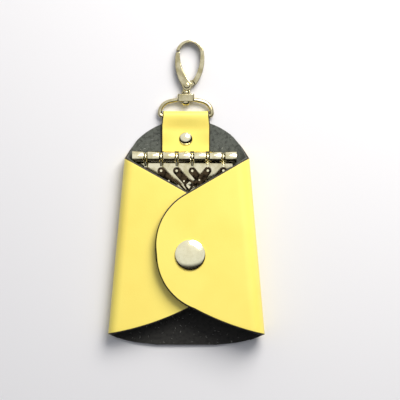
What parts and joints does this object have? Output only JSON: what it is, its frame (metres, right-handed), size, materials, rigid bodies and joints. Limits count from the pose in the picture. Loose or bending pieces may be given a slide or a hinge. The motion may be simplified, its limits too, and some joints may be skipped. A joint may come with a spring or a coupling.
{
  "type": "key case",
  "caption": "Leather key case with wrap-over flaps closed by a press stud, a rail of swinging key hooks inside, and a swivel snap hook on a strap loop at its top.",
  "frame": {"origin": "on the flat back face, midway across the case and at about the middle of its whole length", "axes": "+Z out of the front of the case, +Y along its length towards the snap hook, +X to the right"},
  "size_m": [0.0644, 0.1258, 0.0139],
  "materials": {
    "yellow_leather": "smooth satin",
    "black_lining": "matt napped",
    "nickel": "polished nickel plate",
    "dark_nickel": "dark nickel plate",
    "spring_steel": "drawn wire"
  },
  "bodies": {
    "case_back": {"back_leather": "yellow_leather", "back_lining": "black_lining", "strap_rivet_cap": "nickel", "strap_rivet_base": "nickel", "key_rail": "nickel", "rail_rod": "nickel", "rail_plugs": "nickel", "rail_rivets": "nickel"},
    "right_flap": {"right_flap_leather": "yellow_leather", "right_flap_lining": "black_lining", "snap_cap": "nickel", "snap_socket": "nickel", "snap_spring": "spring_steel"},
    "left_flap": {"left_flap_leather": "yellow_leather", "left_flap_lining": "black_lining", "snap_stud": "nickel", "snap_eyelet": "nickel"},
    "swivel_loop": {"swivel_loop": "nickel"},
    "snap_hook": {"hook_body": "nickel", "swivel_rivet": "nickel", "gate_rivet": "nickel", "gate_spring": "spring_steel"},
    "hook_gate": {"hook_gate": "nickel"},
    "key_hook_1": {"key_link_1": "nickel", "key_clasp_1": "dark_nickel", "key_pins_1": "nickel"},
    "key_gate_1": {"key_gate_1": "dark_nickel"},
    "key_hook_2": {"key_link_2": "nickel", "key_clasp_2": "dark_nickel", "key_pins_2": "nickel"},
    "key_gate_2": {"key_gate_2": "dark_nickel"},
    "key_hook_3": {"key_link_3": "nickel", "key_clasp_3": "dark_nickel", "key_pins_3": "nickel"},
    "key_gate_3": {"key_gate_3": "dark_nickel"},
    "key_hook_4": {"key_link_4": "nickel", "key_clasp_4": "dark_nickel", "key_pins_4": "nickel"},
    "key_gate_4": {"key_gate_4": "dark_nickel"},
    "key_hook_5": {"key_link_5": "nickel", "key_clasp_5": "dark_nickel", "key_pins_5": "nickel"},
    "key_gate_5": {"key_gate_5": "dark_nickel"},
    "key_hook_6": {"key_link_6": "nickel", "key_clasp_6": "dark_nickel", "key_pins_6": "nickel"},
    "key_gate_6": {"key_gate_6": "dark_nickel"}
  },
  "joints": [
    {"name": "right_flap_fold", "type": "hinge", "parent": "case_back", "child": "right_flap", "pos_m": [0.02895, -0.0224, 0.0061], "axis": [-0.0889, 0.996, 0], "range_deg": [0, 170]},
    {"name": "left_flap_fold", "type": "hinge", "parent": "case_back", "child": "left_flap", "pos_m": [-0.02895, -0.0224, 0.0042], "axis": [-0.0889, -0.996, 0], "range_deg": [0, 85]},
    {"name": "loop_swing", "type": "hinge", "parent": "case_back", "child": "swivel_loop", "pos_m": [-0.0005, 0.0315, 0.0019], "axis": [1, 0, 0], "range_deg": [-110, 110]},
    {"name": "hook_swivel", "type": "hinge", "parent": "swivel_loop", "child": "snap_hook", "pos_m": [-0.0005, 0.0406, 0.0019], "axis": [0, 1, 0], "continuous": true},
    {"name": "hook_gate_trigger", "type": "hinge", "parent": "snap_hook", "child": "hook_gate", "pos_m": [-0.0001, 0.044, 0.0019], "axis": [0, 0, -1], "range_deg": [0, 25], "stiffness_Nm_per_rad": 0.01},
    {"name": "key_swing_1", "type": "hinge", "parent": "case_back", "child": "key_hook_1", "pos_m": [-0.01705, 0.0142, 0.00415], "axis": [-1, 0, 0], "range_deg": [0, 48]},
    {"name": "key_gate_spring_1", "type": "hinge", "parent": "key_hook_1", "child": "key_gate_1", "pos_m": [-0.01583, 0.00351, 0.0034], "axis": [0, 0, 1], "range_deg": [0, 16], "stiffness_Nm_per_rad": 0.002},
    {"name": "key_swing_2", "type": "hinge", "parent": "case_back", "child": "key_hook_2", "pos_m": [-0.01063, 0.0142, 0.00415], "axis": [-1, 0, 0], "range_deg": [0, 48]},
    {"name": "key_gate_spring_2", "type": "hinge", "parent": "key_hook_2", "child": "key_gate_2", "pos_m": [-0.00745, 0.00444, 0.0034], "axis": [0, 0, 1], "range_deg": [0, 16], "stiffness_Nm_per_rad": 0.002},
    {"name": "key_swing_3", "type": "hinge", "parent": "case_back", "child": "key_hook_3", "pos_m": [-0.00421, 0.0142, 0.00415], "axis": [-1, 0, 0], "range_deg": [0, 48]},
    {"name": "key_gate_spring_3", "type": "hinge", "parent": "key_hook_3", "child": "key_gate_3", "pos_m": [-0.00118, 0.00433, 0.0034], "axis": [0, 0, 1], "range_deg": [0, 16], "stiffness_Nm_per_rad": 0.002},
    {"name": "key_swing_4", "type": "hinge", "parent": "case_back", "child": "key_hook_4", "pos_m": [0.00221, 0.0142, 0.00415], "axis": [-1, 0, 0], "range_deg": [0, 48]},
    {"name": "key_gate_spring_4", "type": "hinge", "parent": "key_hook_4", "child": "key_gate_4", "pos_m": [0.00509, 0.00423, 0.0034], "axis": [0, 0, 1], "range_deg": [0, 16], "stiffness_Nm_per_rad": 0.002},
    {"name": "key_swing_5", "type": "hinge", "parent": "case_back", "child": "key_hook_5", "pos_m": [0.00863, 0.0142, 0.00415], "axis": [-1, 0, 0], "range_deg": [0, 48]},
    {"name": "key_gate_spring_5", "type": "hinge", "parent": "key_hook_5", "child": "key_gate_5", "pos_m": [0.00516, 0.00468, 0.0057], "axis": [0, 0, 1], "range_deg": [0, 16], "stiffness_Nm_per_rad": 0.002},
    {"name": "key_swing_6", "type": "hinge", "parent": "case_back", "child": "key_hook_6", "pos_m": [0.01505, 0.0142, 0.00415], "axis": [-1, 0, 0], "range_deg": [0, 48]},
    {"name": "key_gate_spring_6", "type": "hinge", "parent": "key_hook_6", "child": "key_gate_6", "pos_m": [0.01144, 0.00481, 0.0057], "axis": [0, 0, 1], "range_deg": [0, 16], "stiffness_Nm_per_rad": 0.002}
  ],
  "couplings": [
    {"joint": "left_flap_fold", "follows": "right_flap_fold", "ratio": 0.5},
    {"joint": "key_swing_1", "follows": "right_flap_fold", "ratio": 0.28},
    {"joint": "key_swing_2", "follows": "right_flap_fold", "ratio": 0.28},
    {"joint": "key_swing_3", "follows": "right_flap_fold", "ratio": 0.28},
    {"joint": "key_swing_4", "follows": "right_flap_fold", "ratio": 0.28},
    {"joint": "key_swing_5", "follows": "right_flap_fold", "ratio": 0.28},
    {"joint": "key_swing_6", "follows": "right_flap_fold", "ratio": 0.28}
  ]
}
